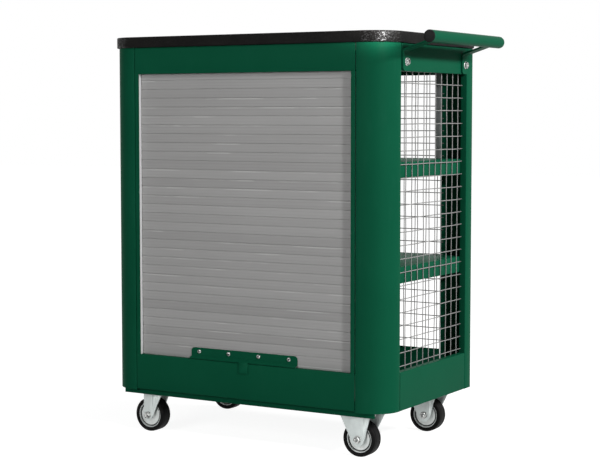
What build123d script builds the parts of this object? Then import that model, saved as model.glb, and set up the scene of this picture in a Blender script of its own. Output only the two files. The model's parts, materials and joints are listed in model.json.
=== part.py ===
"""Roll front tool cabinet on casters: a sheet-steel cabinet with a slatted roll front,
wire-mesh sides and back, two shelves, a push handle and four wheels.

All lengths are millimetres.  +X runs to the right along the front, +Y from the front to
the back, +Z up.  The pieces are drawn about the middle of the cabinet body and moved at
the end, so that the origin lies on the floor under the middle of the overall footprint,
push handle included.
"""
from build123d import *
import os

# ---------------------------------------------------------------- driving dimensions
SHEET = 1.5                  # steel sheet of posts, rails, shelves and floor
PANEL_GAP = 1.4              # shadow gap beside each panel face

BODY_WIDTH = 688.0           # across the outer faces of the posts
BODY_DEPTH = 408.0
CASTER_HEIGHT = 97.0         # floor to the underside of the crossmembers' webs
CASTER_RECESS = 1.0          # body's lower edge above that underside
KICK_HEIGHT = 80.0           # body bottom to the sill of the openings
OPENING_HEIGHT = 613.0       # sill to the underside of the headers
HEADER_HEIGHT = 57.0
FRONT_KICK_GAP = 3.0         # the front kick ends this much above the post ends
TOP_RETURN = 12.0            # flanges that carry the worktop

WORKTOP_THICKNESS = 23.0
WORKTOP_OVERHANG = 5.0
WORKTOP_EDGE = 2.0           # rounded rim of the worktop
WORKTOP_REAR_RADIUS = 12.0

CORNER_RADIUS = 60.0         # rounded front posts
POST_WIDTH = 70.0            # front face of a front post
POST_SIDE_FLAT = 3.5         # flat stretch behind the rounded corner
POST_INNER_RETURN = 15.0     # return beside the roll front
SIDE_RETURN = 14.0           # returns round the side openings
REAR_POST_SIDE = 30.0
REAR_POST_BACK = 74.0
HEADER_RETURN = 7.0          # front header's lower return, in front of the slats

FLOOR_RISE = 24.0            # floor plate above the body bottom
LOWER_SHELF_RISE = 213.5     # shelf surfaces above the sill
UPPER_SHELF_RISE = 428.5
SHELF_FLANGE = 34.0
SHELF_FRONT_SETBACK = 30.0
SHELF_MESH_GAP = 0.5

CROSSMEMBER_LENGTH = 626.0
CROSSMEMBER_WIDTH = 80.0
CROSSMEMBER_SHEET = 2.0
CROSSMEMBER_SETBACK = 10.0   # from the faces of the body, filled by the kicks' lower returns
CROSSMEMBER_SKIRT = 9.0      # how far the doubled edges hang below the web
SKIRT_GAP = 0.5              # between the two layers of such an edge

WIRE = 2.0                   # diameter of the mesh wires
MESH_PITCH = 27.6
SIDE_MESH_SILL = 9.5         # lowest side wire above the sill
REAR_MESH_SILL = 20.0
REAR_MESH_OVERLAP = 6.0      # mesh held behind the edges of the back opening

TRACK_DEPTH = 11.0           # across the slats' channel and the jamb in front of it
TRACK_WALL = 1.5
TRACK_SLOT = 7.0             # clear width of the channel
TRACK_BEND = 40.0            # bend radius on the channel's centre line
TRACK_REAR_GAP = 2.0         # channel to rear mesh
TRACK_TOP_GAP = 3.0          # channel to the worktop
SHUTTER_RECESS = 10.0        # slat faces behind the cabinet front
SLAT_THICKNESS = 5.0
SLAT_PITCH = 19.1
SLAT_BEVEL = 0.7
SLAT_END_GAP = 2.0           # slat end to the bottom of its channel
BOTTOM_RAIL_HEIGHT = 26.0
SHUTTER_HEAD_LAP = 8.0       # slats that stand behind the header

PULL_WIDTH = 266.0
PULL_SHEET = 1.5
PULL_TOP = 24.5              # top of the pull plate above the sill
PULL_FOLD = 5.5              # fold of the lip above the sill
PULL_LIP_REACH = 10.6        # lip forward of the plate's front
PULL_LIP_DROP = 4.5
PULL_CORNER = 8.0
PULL_SCREW_PITCH = 75.0
PULL_SCREW_DROP = 8.5        # below the top of the plate
PULL_SCREW_HEAD = 9.0
PULL_SCREW_RISE = 2.2
PULL_SCREW_SHANK = 4.0
LOCK_TAB_WIDTH = 22.0
LOCK_TAB_DROP = 22.0
LOCK_TAB_OFFSET = 6.0        # tab centre right of the cabinet's middle

HANDLE_DIAMETER = 25.4
HANDLE_WALL = 1.5
HANDLE_FRONT_OVERHANG = 42.5 # tube end beyond the middle of a bracket
HANDLE_REAR_OVERHANG = 30.0
HANDLE_REACH = 73.5          # side of the body to the tube's axis
HANDLE_CAP_DOME = 3.0
HANDLE_CAP_PLUG = 14.0
BRACKET_WIDTH = 30.0
BRACKET_THICKNESS = 4.0
BRACKET_INSET = 1.25         # bracket foot from the end of the side header
BRACKET_FOOT = 44.0          # height of a bracket's foot
BRACKET_CORNER = 8.0
BRACKET_BOLT_RISE = 19.0     # bolt above the header's lower edge
BOLT_SHANK = 8.0
BOLT_FLANGE = 16.0
BOLT_FLANGE_THICKNESS = 1.6
BOLT_HEAD = 13.0             # across the flats
BOLT_HEAD_HEIGHT = 5.3

WHEEL_DIAMETER = 75.0
WHEEL_WIDTH = 30.0
TYRE_BORE = 58.0             # outer diameter of the wheel centre
TYRE_ROUND = 6.0             # depth of the tyre's shoulders
TYRE_CROWN = 2.0             # fall of the tread towards its shoulders
HUB_LENGTH = 34.0
HUB_DIAMETER = 19.0
WHEEL_WEB = 5.0              # half thickness of the web beside the rim
WHEEL_DISH = 3.0             # the web's swelling towards the hub
RIM_THICKNESS = 2.5
RIM_SETBACK = 2.5            # rim edge inside the tyre's side
AXLE_DIAMETER = 8.0
AXLE_CLEARANCE = 0.05        # radial, between the axle and the wheel centre
FORK_SHEET = 2.5
FORK_SIDE_GAP = 0.5          # each side of the hub
FORK_FOOT = 11.5             # radius of a leg's end round the axle
FORK_TOP_WIDTH = 72.0        # of a rigid fork's leg
FORK_LEAN = 7.0              # of that leg's top beside the axle, the other way on each leg
SWIVEL_LEG_TOP = 46.0        # of a swivel fork's leg
PLATE_LENGTH = 92.0
PLATE_SIDE_GAP = 0.5         # plate to the crossmember's doubled edges
PLATE_CORNER = 8.0
PLATE_BOLT_X = 74.0
PLATE_BOLT_INSET = 8.0       # bolt axis from the plate's long edges
SWIVEL_OFFSET = 28.0         # swivel axis to axle
RACE_DIAMETER = 50.0
UPPER_RACE_HEIGHT = 5.0
LOWER_RACE_HEIGHT = 3.0
RACE_GAP = 0.6               # running gap between the two race halves
KINGPIN_DIAMETER = 10.0
KINGPIN_HEAD = 17.0
KINGPIN_HEAD_HEIGHT = 2.0
KINGPIN_CLEARANCE = 0.05     # radial
KINGPIN_HEAD_GAP = 0.3
RIGID_CASTER_X = 264.0       # axle of the right-hand casters
SWIVEL_CASTER_X = -238.0     # swivel axis of the left-hand casters
NUT_FLATS = 13.0
NUT_HEIGHT = 6.5
THREAD_END = 1.5             # bolt end beyond its nut

# ---------------------------------------------------------------- places
SIDE = BODY_WIDTH / 2
FRONT = -BODY_DEPTH / 2
REAR = BODY_DEPTH / 2
BODY_BOTTOM = CASTER_HEIGHT + CASTER_RECESS
SILL = BODY_BOTTOM + KICK_HEIGHT
HEADER_BOTTOM = SILL + OPENING_HEIGHT
BODY_TOP = HEADER_BOTTOM + HEADER_HEIGHT
WORKTOP_TOP = BODY_TOP + WORKTOP_THICKNESS
FLOOR_TOP = BODY_BOTTOM + FLOOR_RISE
POST_EDGE = SIDE - POST_WIDTH                       # inner edge of a front post
REAR_POST_EDGE = SIDE - REAR_POST_BACK
POST_SIDE_END = FRONT + CORNER_RADIUS + POST_SIDE_FLAT
REAR_POST_START = REAR - REAR_POST_SIDE
SLAT_FRONT = FRONT + SHUTTER_RECESS
SLAT_MIDDLE = SLAT_FRONT + SLAT_THICKNESS / 2
TRACK_FRONT = SLAT_MIDDLE - TRACK_SLOT / 2 - TRACK_WALL
TRACK_REAR = SLAT_MIDDLE + TRACK_SLOT / 2 + TRACK_WALL
SLAT_END = POST_EDGE - TRACK_WALL - SLAT_END_GAP
SILL_RETURN = TRACK_REAR - FRONT
SIDE_RETURN_EDGE = SIDE - SIDE_RETURN
REAR_MESH_INNER = REAR - SHEET - 2 * WIRE
HANDLE_X = SIDE + HANDLE_REACH
HANDLE_Z = WORKTOP_TOP - HANDLE_DIAMETER / 2        # flush with the worktop
HANDLE_OUTER = HANDLE_X + HANDLE_DIAMETER / 2
CABINET_X = (SIDE + WORKTOP_OVERHANG - HANDLE_OUTER) / 2
AXLE_Z = WHEEL_DIAMETER / 2
CASTER_Y = REAR - CROSSMEMBER_SETBACK - CROSSMEMBER_WIDTH / 2
SKIRT_WIDTH = 2 * CROSSMEMBER_SHEET + SKIRT_GAP
PLATE_WIDTH = CROSSMEMBER_WIDTH - 2 * SKIRT_WIDTH - 2 * PLATE_SIDE_GAP
PLATE_BOLT_Y = PLATE_WIDTH - 2 * PLATE_BOLT_INSET
FRONT_BRACKET_Y = POST_SIDE_END + BRACKET_INSET + BRACKET_WIDTH / 2
REAR_BRACKET_Y = REAR_POST_START - BRACKET_INSET - BRACKET_WIDTH / 2
HANDLE_FRONT = FRONT_BRACKET_Y - HANDLE_FRONT_OVERHANG
HANDLE_REAR = REAR_BRACKET_Y + HANDLE_REAR_OVERHANG


# ---------------------------------------------------------------- helpers
def folded(points, length, plane, thickness=SHEET, side=Side.LEFT):
    """A folded strip: the open line through points, thickened to one side and extruded."""
    return thick_line(Polyline(*points), length, plane, thickness, side)


def thick_line(line, length, plane, thickness=SHEET, side=Side.LEFT):
    outline = offset(line, thickness, kind=Kind.INTERSECTION, side=side)
    return extrude(plane * make_face(outline), length)


def block(x, y, z):
    """A box between the pairs of limits x, y and z."""
    size = (x[1] - x[0], y[1] - y[0], z[1] - z[0])
    middle = ((x[0] + x[1]) / 2, (y[0] + y[1]) / 2, (z[0] + z[1]) / 2)
    return Pos(*middle) * Box(*size)


def along_y(x, y, z):
    """A plane at a point whose normal points to the back."""
    return Plane(origin=(x, y, z), x_dir=(1, 0, 0), z_dir=(0, 1, 0))


def along_x(x, y, z):
    """A plane at a point whose normal points to the right and whose x runs to the back."""
    return Plane(origin=(x, y, z), x_dir=(0, 1, 0), z_dir=(1, 0, 0))


def left(part):
    return mirror(part, about=Plane.YZ)


def round_bar(plane, diameter, length):
    return extrude(plane * Circle(diameter / 2), length)


def hexagon_bar(plane, flats, length):
    return extrude(plane * RegularPolygon(flats / 2, 6, major_radius=False), length)


def dome(diameter, rise):
    """A cap of a sphere that stands on the XY plane."""
    radius = diameter / 2
    sphere = (radius ** 2 + rise ** 2) / (2 * rise)
    return split(Pos(0, 0, rise - sphere) * Sphere(sphere), bisect_by=Plane.XY)


# ---------------------------------------------------------------- cabinet frame
def front_post():
    """Right front post: a quarter-round corner with a return at each edge."""
    start = (POST_EDGE, FRONT + POST_INNER_RETURN)
    corner = (SIDE - CORNER_RADIUS, FRONT + CORNER_RADIUS)
    line = Polyline(start, (POST_EDGE, FRONT), (corner[0], FRONT))
    line += CenterArc(corner, CORNER_RADIUS, -90, 90)
    line += Polyline((SIDE, corner[1]), (SIDE, POST_SIDE_END), (SIDE_RETURN_EDGE, POST_SIDE_END))
    return thick_line(line, BODY_TOP - BODY_BOTTOM, Plane.XY.offset(BODY_BOTTOM))


def rear_post():
    """Right rear post: a wide back wing, a side wing and a return to the side opening."""
    points = [
        (SIDE_RETURN_EDGE, REAR_POST_START),
        (SIDE, REAR_POST_START),
        (SIDE, REAR),
        (REAR_POST_EDGE, REAR),
    ]
    return folded(points, BODY_TOP - BODY_BOTTOM, Plane.XY.offset(BODY_BOTTOM))


def panel(place, face, inward, ends, heights, low_return, high_return):
    """A flat panel with a return along its lower and upper edges.

    The face stops PANEL_GAP short of the posts, and the returns reach them.
    inward is the direction of the returns, +1 or -1, and place turns the limits
    across, along and up the panel into a box.
    """
    back = face + inward * SHEET
    face_ends = (ends[0] + PANEL_GAP, ends[1] - PANEL_GAP)
    solid = place((face, back), face_ends, heights)
    for depth, bottom in ((low_return, heights[0]), (high_return, heights[1] - SHEET)):
        if depth > SHEET:
            solid += place((back, face + inward * depth), ends, (bottom, bottom + SHEET))
    return solid


def across_front(across, along, up):
    return block(along, sorted(across), up)


def across_side(across, along, up):
    return block(sorted(across), along, up)


def front_header():
    return panel(across_front, FRONT, 1, (-POST_EDGE, POST_EDGE), (HEADER_BOTTOM, BODY_TOP),
                 HEADER_RETURN, TOP_RETURN)


def front_kick():
    return panel(across_front, FRONT, 1, (-POST_EDGE, POST_EDGE),
                 (BODY_BOTTOM + FRONT_KICK_GAP, SILL), CROSSMEMBER_SETBACK, SILL_RETURN)


def rear_header():
    return panel(across_front, REAR, -1, (-REAR_POST_EDGE, REAR_POST_EDGE),
                 (HEADER_BOTTOM, BODY_TOP), 0, TOP_RETURN)


def rear_kick():
    return panel(across_front, REAR, -1, (-REAR_POST_EDGE, REAR_POST_EDGE),
                 (BODY_BOTTOM, SILL), CROSSMEMBER_SETBACK, 0)


def side_header():
    return panel(across_side, SIDE, -1, (POST_SIDE_END, REAR_POST_START),
                 (HEADER_BOTTOM, BODY_TOP), SIDE_RETURN, TOP_RETURN)


def side_kick():
    return panel(across_side, SIDE, -1, (POST_SIDE_END, REAR_POST_START),
                 (BODY_BOTTOM, SILL), SIDE_RETURN, SIDE_RETURN)


def worktop():
    """A board with rounded front corners that follow the posts."""
    half = SIDE + WORKTOP_OVERHANG
    depth = BODY_DEPTH + 2 * WORKTOP_OVERHANG
    outline = Rectangle(2 * half, depth)
    front_corners = outline.vertices().sort_by(Axis.Y)[:2]
    outline = fillet(front_corners, CORNER_RADIUS + WORKTOP_OVERHANG)
    rear_corners = outline.vertices().sort_by(Axis.Y)[-2:]
    outline = fillet(rear_corners, WORKTOP_REAR_RADIUS)
    board = extrude(Plane.XY.offset(BODY_TOP) * outline, WORKTOP_THICKNESS)
    rims = board.faces().sort_by(Axis.Z)[-1].edges() + board.faces().sort_by(Axis.Z)[0].edges()
    return fillet(rims, WORKTOP_EDGE)


def floor_plate():
    """The cabinet floor, which fills the space inside the posts and kick panels."""
    inner_x = SIDE - SHEET
    plate = block((-inner_x, inner_x), (FRONT + SHEET, REAR - SHEET), (FLOOR_TOP - SHEET, FLOOR_TOP))
    corners = plate.edges().filter_by(Axis.Z).sort_by(Axis.Y)[:2]
    plate = fillet(corners, CORNER_RADIUS - SHEET)
    for side in (-1, 1):
        post_slot = post_notch(side, (FLOOR_TOP - SHEET, FLOOR_TOP))
        return_slot = block(sorted((side * SIDE_RETURN_EDGE, side * SIDE)),
                            (POST_SIDE_END - 2 * SHEET, POST_SIDE_END), (FLOOR_TOP - SHEET, FLOOR_TOP))
        rear_slot = block(sorted((side * SIDE_RETURN_EDGE, side * SIDE)),
                          (REAR_POST_START, REAR_POST_START + 2 * SHEET), (FLOOR_TOP - SHEET, FLOOR_TOP))
        plate -= [post_slot, return_slot, rear_slot]
    return plate


def shelf(top):
    """A shelf tray with flanges turned down all round, held between the side returns."""
    half = SIDE_RETURN_EDGE
    rear_edge = REAR_MESH_INNER - SHELF_MESH_GAP
    outer = block((-half, half), (FRONT + SHELF_FRONT_SETBACK, rear_edge), (top - SHELF_FLANGE, top))
    hollow = block((-half + SHEET, half - SHEET),
                   (FRONT + SHELF_FRONT_SETBACK + SHEET, rear_edge - SHEET),
                   (top - SHELF_FLANGE, top - SHEET))
    return outer - hollow


def crossmember():
    """Front crossmember: a channel under the floor that carries two casters.

    Its walls are folded back on themselves below the web, so that a doubled edge hangs
    down on each side of the caster plates.  Notches clear the front posts' returns.
    """
    low = FRONT + CROSSMEMBER_SETBACK
    high = low + CROSSMEMBER_WIDTH
    top = FLOOR_TOP - SHEET
    edge = CASTER_HEIGHT - CROSSMEMBER_SKIRT
    points = [
        (low, top),
        (low, edge),
        (low + SKIRT_WIDTH, edge),
        (low + SKIRT_WIDTH, CASTER_HEIGHT),
        (high - SKIRT_WIDTH, CASTER_HEIGHT),
        (high - SKIRT_WIDTH, edge),
        (high, edge),
        (high, top),
    ]
    channel = folded(points, CROSSMEMBER_LENGTH, along_x(-CROSSMEMBER_LENGTH / 2, 0, 0),
                     CROSSMEMBER_SHEET)
    for side in (-1, 1):
        channel -= post_notch(side, (BODY_BOTTOM, top))
    return channel


def post_notch(side, heights):
    """Clearance round the inner return of a front post."""
    across = sorted((side * (POST_EDGE - SHEET), side * (POST_EDGE + 2 * SHEET)))
    return block(across, (FRONT, FRONT + POST_INNER_RETURN), heights)


# ---------------------------------------------------------------- mesh
def wire(start, axis, length):
    """One straight wire from start, along X, Y or Z."""
    direction = {"x": (1, 0, 0), "y": (0, 1, 0), "z": (0, 0, 1)}[axis]
    return round_bar(Plane(origin=start, z_dir=direction), WIRE, length)


def side_mesh():
    """Right mesh: upright wires inside, level wires outside, between the four returns."""
    inner_x = SIDE_RETURN_EDGE + SHELF_MESH_GAP + WIRE / 2
    low, high = POST_SIDE_END, REAR_POST_START
    count = int((high - low - WIRE) // MESH_PITCH)
    first = (low + high) / 2 - (count - 1) / 2 * MESH_PITCH
    uprights = [wire((inner_x, first + i * MESH_PITCH, SILL), "z", OPENING_HEIGHT)
                for i in range(count)]
    rows = int((OPENING_HEIGHT - SIDE_MESH_SILL - WIRE) // MESH_PITCH) + 1
    levels = [wire((inner_x + WIRE, low, SILL + SIDE_MESH_SILL + i * MESH_PITCH), "y", high - low)
              for i in range(rows)]
    return uprights + levels


def rear_mesh():
    """Back mesh: level wires on the rear posts, upright wires in front of them."""
    half = REAR_POST_EDGE + REAR_MESH_OVERLAP
    level_y = REAR - SHEET - WIRE / 2
    count = int((2 * REAR_POST_EDGE - WIRE) // MESH_PITCH) + 1
    first = -(count - 1) / 2 * MESH_PITCH
    uprights = [wire((first + i * MESH_PITCH, level_y - WIRE, SILL), "z", OPENING_HEIGHT)
                for i in range(count)]
    rows = int((OPENING_HEIGHT - REAR_MESH_SILL - WIRE) // MESH_PITCH) + 1
    levels = [wire((-half, level_y, SILL + REAR_MESH_SILL + i * MESH_PITCH), "x", 2 * half)
              for i in range(rows)]
    return uprights + levels


# ---------------------------------------------------------------- roll front
def jamb():
    """Right jamb: a narrow strip in front of the channel, on the channel's lip."""
    across = (POST_EDGE - TRACK_DEPTH, POST_EDGE - PANEL_GAP)
    return block(across, (FRONT, FRONT + SHEET), (SILL, HEADER_BOTTOM))


def track_path(extra=0.0):
    """Centre line of the slats' channel: up the front, back under the worktop, down the back."""
    top = BODY_TOP - TRACK_TOP_GAP - TRACK_WALL - TRACK_SLOT / 2
    rear = REAR_MESH_INNER - TRACK_REAR_GAP - TRACK_WALL - TRACK_SLOT / 2
    return FilletPolyline((SLAT_MIDDLE, SILL - extra), (SLAT_MIDDLE, top), (rear, top),
                          (rear, SILL + UPPER_SHELF_RISE - extra), radius=TRACK_BEND)


def track():
    """Right channel that guides the slats' ends, with a lip forward to the jamb."""
    half = TRACK_SLOT / 2
    inner = POST_EDGE - TRACK_DEPTH
    base = along_x(inner, 0, 0)
    outer = half + TRACK_WALL
    body = thick_line(track_path(), TRACK_DEPTH, base, outer)
    body += thick_line(track_path(), TRACK_DEPTH, base, outer, Side.RIGHT)
    slot = thick_line(track_path(1.0), TRACK_DEPTH - TRACK_WALL, base, half)
    slot += thick_line(track_path(1.0), TRACK_DEPTH - TRACK_WALL, base, half, Side.RIGHT)
    lip = block((inner, inner + TRACK_WALL), (FRONT + SHEET, TRACK_FRONT), (SILL, HEADER_BOTTOM))
    return body - slot + lip


def slat(bottom):
    """One slat, bevelled along both front edges, so that a groove shows at each joint."""
    back = SLAT_FRONT + SLAT_THICKNESS
    top = bottom + SLAT_PITCH
    section = Polyline((SLAT_FRONT, bottom + SLAT_BEVEL), (SLAT_FRONT + SLAT_BEVEL, bottom),
                       (back, bottom), (back, top), (SLAT_FRONT + SLAT_BEVEL, top),
                       (SLAT_FRONT, top - SLAT_BEVEL), close=True)
    return extrude(along_x(-SLAT_END, 0, 0) * make_face(section), 2 * SLAT_END)


def slats():
    first = SILL + BOTTOM_RAIL_HEIGHT
    count = int((HEADER_BOTTOM + SHUTTER_HEAD_LAP - first) / SLAT_PITCH)
    return [slat(first + i * SLAT_PITCH) for i in range(count)]


def screw_places():
    height = SILL + PULL_TOP - PULL_SCREW_DROP
    return [((i - 1.5) * PULL_SCREW_PITCH, height) for i in range(4)]


def bottom_rail():
    """The roll front's lowest slat, which carries the pull plate."""
    rail = block((-SLAT_END, SLAT_END), (SLAT_FRONT, SLAT_FRONT + SLAT_THICKNESS),
                 (SILL, SILL + BOTTOM_RAIL_HEIGHT))
    for x, z in screw_places():
        rail -= round_bar(along_y(x, SLAT_FRONT, z), PULL_SCREW_SHANK, SLAT_THICKNESS)
    return rail


def pull():
    """Pull plate: a strip screwed to the bottom rail, with a sloping lip and a lock tab."""
    top = (SLAT_FRONT, SILL + PULL_TOP)
    fold = (SLAT_FRONT, SILL + PULL_FOLD)
    tip = (SLAT_FRONT - PULL_LIP_REACH, fold[1] - PULL_LIP_DROP)
    plate = folded([top, fold, tip], PULL_WIDTH, along_x(-PULL_WIDTH / 2, 0, 0), PULL_SHEET, Side.RIGHT)
    upper = plate.edges().filter_by(Axis.Y).sort_by(Axis.Z)[-2:]
    plate = fillet(upper, PULL_CORNER)
    tab_left = LOCK_TAB_OFFSET - LOCK_TAB_WIDTH / 2
    tab = folded([fold, tip, (tip[0], tip[1] - LOCK_TAB_DROP)], LOCK_TAB_WIDTH,
                 along_x(tab_left, 0, 0), PULL_SHEET, Side.RIGHT)
    plate += tab
    for x, z in screw_places():
        plate -= round_bar(along_y(x, SLAT_FRONT - PULL_SHEET, z), PULL_SCREW_SHANK, PULL_SHEET)
    return plate


def pull_screw(x, z):
    """A low dome-headed screw through the pull plate into the bottom rail."""
    face = SLAT_FRONT - PULL_SHEET
    head = Pos(x, face, z) * Rot(90, 0, 0) * dome(PULL_SCREW_HEAD, PULL_SCREW_RISE)
    return head + round_bar(along_y(x, face, z), PULL_SCREW_SHANK, PULL_SHEET + SLAT_THICKNESS)


# ---------------------------------------------------------------- push handle
def handle_tube():
    """A straight tube along the right side: open for the end cap in front, domed behind."""
    radius = HANDLE_DIAMETER / 2
    start = HANDLE_FRONT + HANDLE_CAP_DOME
    straight = HANDLE_REAR - radius - start
    base = along_y(HANDLE_X, start, HANDLE_Z)
    dome_centre = Pos(HANDLE_X, HANDLE_REAR - radius, HANDLE_Z)
    bore = radius - HANDLE_WALL
    outer = round_bar(base, HANDLE_DIAMETER, straight) + dome_centre * Sphere(radius)
    inner = round_bar(base, 2 * bore, straight) + dome_centre * Sphere(bore)
    return outer - inner


def handle_cap():
    """Domed plug in the front end of the handle."""
    bore = HANDLE_DIAMETER - 2 * HANDLE_WALL
    cap = dome(HANDLE_DIAMETER, HANDLE_CAP_DOME)
    cap += round_bar(Plane.XY.offset(-HANDLE_CAP_PLUG), bore, HANDLE_CAP_PLUG)
    return Pos(HANDLE_X, HANDLE_FRONT + HANDLE_CAP_DOME, HANDLE_Z) * Rot(90, 0, 0) * cap


def handle_bracket(y):
    """A flat bar bolted to the side header and bent out to the underside of the tube."""
    bend_z = HEADER_BOTTOM + BRACKET_FOOT
    line = FilletPolyline((SIDE, HEADER_BOTTOM), (SIDE, bend_z), (HANDLE_X, HANDLE_Z),
                          radius=BRACKET_THICKNESS * 2)
    plane = Plane(origin=(0, y + BRACKET_WIDTH / 2, 0), x_dir=(1, 0, 0), z_dir=(0, -1, 0))
    bar = thick_line(line, BRACKET_WIDTH, plane, BRACKET_THICKNESS, Side.RIGHT)
    feet = bar.edges().filter_by(Axis.X).sort_by(Axis.Z)[:2]
    bar = fillet(feet, BRACKET_CORNER)
    bar -= round_bar(along_y(HANDLE_X, y - BRACKET_WIDTH, HANDLE_Z), HANDLE_DIAMETER, 2 * BRACKET_WIDTH)
    bolt_hole = along_x(SIDE, y, HEADER_BOTTOM + BRACKET_BOLT_RISE)
    return bar - round_bar(bolt_hole, BOLT_SHANK, BRACKET_THICKNESS)


def handle_bolt(y):
    """Flanged hexagon bolt through a bracket's foot and the header, with its nut inside."""
    z = HEADER_BOTTOM + BRACKET_BOLT_RISE
    face = SIDE + BRACKET_THICKNESS
    inner = SIDE - SHEET
    bolt = round_bar(along_x(inner - BOLT_HEAD_HEIGHT - NUT_HEIGHT / 2, y, z), BOLT_SHANK,
                     face - inner + BOLT_HEAD_HEIGHT + NUT_HEIGHT / 2)
    bolt += round_bar(along_x(face, y, z), BOLT_FLANGE, BOLT_FLANGE_THICKNESS)
    bolt += hexagon_bar(along_x(face, y, z), BOLT_HEAD, BOLT_HEAD_HEIGHT)
    nut = hexagon_bar(along_x(inner - NUT_HEIGHT, y, z), NUT_FLATS, NUT_HEIGHT)
    nut -= round_bar(along_x(inner - NUT_HEIGHT, y, z), BOLT_SHANK, NUT_HEIGHT)
    return [bolt, nut]


# ---------------------------------------------------------------- casters
def wheel_centre():
    """Pressed wheel centre on the Y axis: a hub, a dished web and a rim."""
    rim = TYRE_BORE / 2
    hub = HUB_DIAMETER / 2
    bore = AXLE_DIAMETER / 2 + AXLE_CLEARANCE
    half = WHEEL_WIDTH / 2 - RIM_SETBACK
    side = [(bore, HUB_LENGTH / 2), (hub, HUB_LENGTH / 2), (hub, WHEEL_WEB + WHEEL_DISH),
            (rim - 2 * RIM_THICKNESS, WHEEL_WEB), (rim - RIM_THICKNESS, half), (rim, half)]
    outline = side + [(r, -y) for r, y in reversed(side)]
    return revolve(make_face(Polyline(*outline, close=True)), Axis.Y)


def tyre():
    """Solid tyre: a flat tread band that falls away to sloping shoulders."""
    inner = TYRE_BORE / 2
    outer = WHEEL_DIAMETER / 2
    half = WHEEL_WIDTH / 2
    side = [(inner, half), (outer - TYRE_ROUND, half), (outer - TYRE_CROWN, half - TYRE_ROUND / 2),
            (outer, half - TYRE_ROUND)]
    outline = side + [(r, -y) for r, y in reversed(side)]
    return revolve(make_face(Polyline(*outline, close=True)), Axis.Y)


def top_plate():
    """Caster plate under the crossmember, with its four bolt holes."""
    outline = RectangleRounded(PLATE_LENGTH, PLATE_WIDTH, PLATE_CORNER)
    outline -= [place * Circle(BOLT_SHANK / 2) for place in GridLocations(PLATE_BOLT_X, PLATE_BOLT_Y, 2, 2)]
    return extrude(Plane.XY.offset(CASTER_HEIGHT - FORK_SHEET) * outline, FORK_SHEET)


def fork_leg(axle_x, top_ends, top_z):
    """The front leg of a fork, tapered from an edge at top_z down to the axle."""
    foot = Pos(axle_x, AXLE_Z) * Circle(FORK_FOOT)
    top = Line((top_ends[0], top_z), (top_ends[1], top_z))
    outline = make_hull(foot.edges() + top.edges())
    outline -= Pos(axle_x, AXLE_Z) * Circle(AXLE_DIAMETER / 2)
    inner = HUB_LENGTH / 2 + FORK_SIDE_GAP
    near = Plane(origin=(0, -inner, 0), x_dir=(1, 0, 0), z_dir=(0, -1, 0))
    return extrude(near * outline, FORK_SHEET)


def rigid_fork():
    """One stamped piece: a plate and two broad legs, alike when it is turned half round."""
    half = FORK_TOP_WIDTH / 2
    leg = fork_leg(0, (-half - FORK_LEAN, half - FORK_LEAN), CASTER_HEIGHT - FORK_SHEET)
    return top_plate() + leg + Rot(0, 0, 180) * leg


def axle():
    """Axle bolt with its nut towards the front."""
    end = HUB_LENGTH / 2 + FORK_SIDE_GAP + FORK_SHEET
    tail = end + NUT_HEIGHT + THREAD_END
    bolt = round_bar(along_y(0, -tail, AXLE_Z), AXLE_DIAMETER, tail + end)
    bolt += hexagon_bar(along_y(0, end, AXLE_Z), BOLT_HEAD, BOLT_HEAD_HEIGHT)
    nut = hexagon_bar(along_y(0, -end - NUT_HEIGHT, AXLE_Z), NUT_FLATS, NUT_HEIGHT)
    nut -= round_bar(along_y(0, -end - NUT_HEIGHT, AXLE_Z), AXLE_DIAMETER, NUT_HEIGHT)
    return [bolt, nut]


PLATE_BOTTOM = CASTER_HEIGHT - FORK_SHEET
UPPER_RACE_BOTTOM = PLATE_BOTTOM - UPPER_RACE_HEIGHT
LOWER_RACE_TOP = UPPER_RACE_BOTTOM - RACE_GAP
CROWN_TOP = LOWER_RACE_TOP - LOWER_RACE_HEIGHT
CROWN_BOTTOM = CROWN_TOP - FORK_SHEET


def swivel_plate():
    """Top plate with the upper half of the ball race."""
    race = round_bar(Plane.XY.offset(UPPER_RACE_BOTTOM), RACE_DIAMETER, UPPER_RACE_HEIGHT)
    hole = round_bar(Plane.XY.offset(UPPER_RACE_BOTTOM), KINGPIN_DIAMETER, CASTER_HEIGHT - UPPER_RACE_BOTTOM)
    return top_plate() + race - hole


def kingpin():
    """Rivet that the fork turns on, flush in the plate and headed under the crown."""
    low = CROWN_BOTTOM - KINGPIN_HEAD_GAP - KINGPIN_HEAD_HEIGHT
    pin = round_bar(Plane.XY.offset(low), KINGPIN_DIAMETER, CASTER_HEIGHT - low)
    return pin + round_bar(Plane.XY.offset(low), KINGPIN_HEAD, KINGPIN_HEAD_HEIGHT)


def swivel_fork():
    """Crown with the lower half of the race, and two legs that trail to the axle."""
    crown = round_bar(Plane.XY.offset(CROWN_BOTTOM), RACE_DIAMETER, LOWER_RACE_TOP - CROWN_BOTTOM)
    outer = HUB_LENGTH / 2 + FORK_SIDE_GAP + FORK_SHEET
    low = -SWIVEL_OFFSET - FORK_FOOT
    high = low + SWIVEL_LEG_TOP
    crown += block((low, high), (-outer, outer), (CROWN_BOTTOM, CROWN_TOP))
    leg = fork_leg(-SWIVEL_OFFSET, (low, high), CROWN_TOP)
    fork = crown + leg + mirror(leg, about=Plane.XZ)
    bore = KINGPIN_DIAMETER + 2 * KINGPIN_CLEARANCE
    return fork - round_bar(Plane.XY.offset(CROWN_BOTTOM), bore, LOWER_RACE_TOP - CROWN_BOTTOM)


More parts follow.
